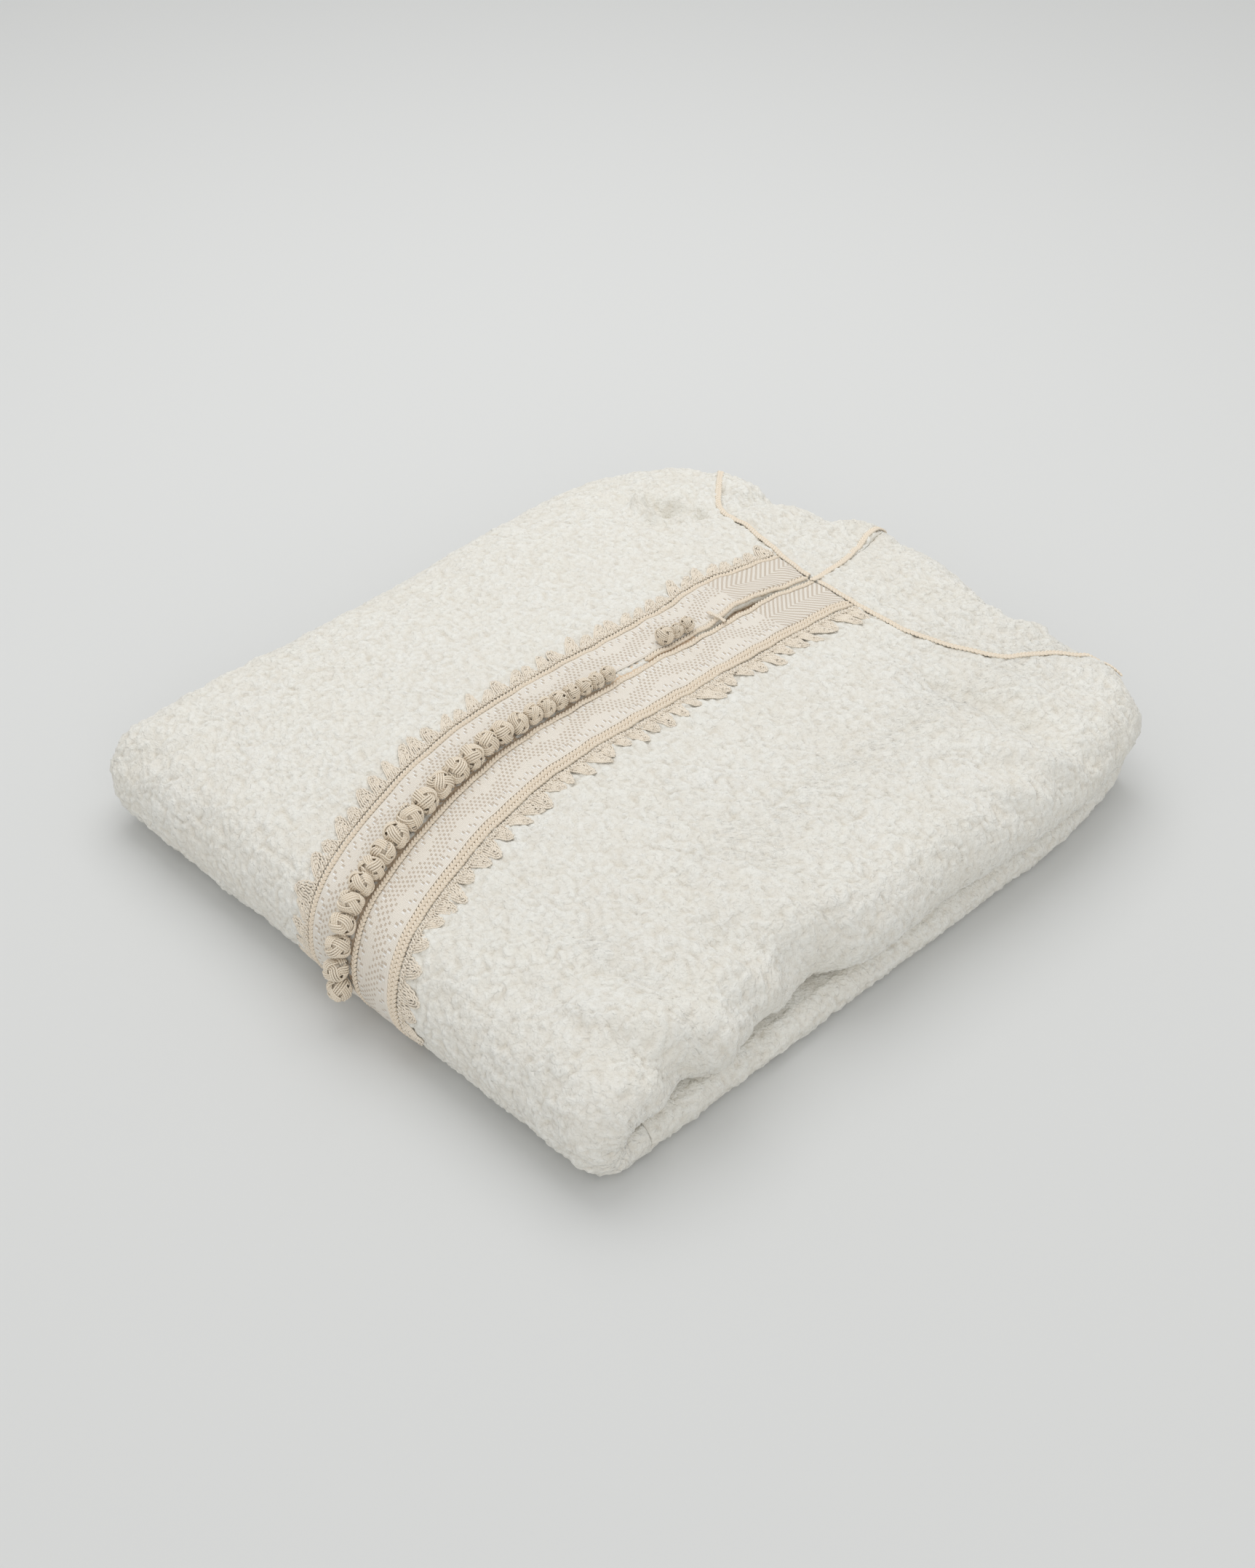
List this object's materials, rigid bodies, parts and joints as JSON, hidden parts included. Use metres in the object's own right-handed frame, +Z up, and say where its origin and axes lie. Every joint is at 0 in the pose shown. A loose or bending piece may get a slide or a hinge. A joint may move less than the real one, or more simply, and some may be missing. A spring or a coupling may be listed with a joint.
{
  "type": "folded hooded robe (djellaba)",
  "caption": "Long hooded robe of thick curly cloth, folded into a flat stack, with a front slit edged by woven braids, cords and scalloped trims and closed by small knot buttons.",
  "frame": {"origin": "middle of the underside of the part's box, on the surface that it lies on", "axes": "+X across the folded robe to the wearer's left side, +Y from the front fold to the hood, +Z up"},
  "size_m": [0.3018, 0.3506, 0.0716],
  "materials": {
    "cloth": "thick curly knobbly cloth, ivory, matt",
    "layers": "the same curly cloth, folded inside",
    "braid": "woven satin braid with small chevrons, cream, soft sheen",
    "cord": "plaited cord, beige",
    "trim": "looped scalloped edging, pale beige, matt",
    "knot": "hand-knotted cord balls, greyish beige"
  },
  "bodies": {
    "root": {"front_left": "cloth", "front_right": "cloth", "skirt": "cloth", "hood_left": "cloth", "hood_right": "cloth", "folded_layers": "layers", "braid_left": "braid", "braid_right": "braid", "cord_right_inner": "cord", "cord_right_outer_a": "cord", "cord_right_outer_b": "cord", "cord_left_inner": "cord", "cord_left_outer": "cord", "neck_cord_right": "cord", "neck_cord_left": "cord", "hood_cord": "cord", "thread_bar": "cord", "trim_left": "trim", "trim_right": "trim", "knot_01": "knot", "knot_02": "knot", "knot_03": "knot", "knot_04": "knot", "knot_05": "knot", "knot_06": "knot", "knot_07": "knot", "knot_08": "knot", "knot_09": "knot", "knot_10": "knot", "knot_11": "knot", "knot_12": "knot", "knot_13": "knot", "knot_14": "knot", "knot_15": "knot", "knot_16": "knot", "knot_17": "knot", "knot_18": "knot", "knot_19": "knot", "knot_20": "knot", "knot_21": "knot", "knot_22": "knot", "knot_23": "knot", "knot_24": "knot", "knot_25": "knot", "knot_26": "knot", "knot_27": "knot"}
  },
  "joints": []
}
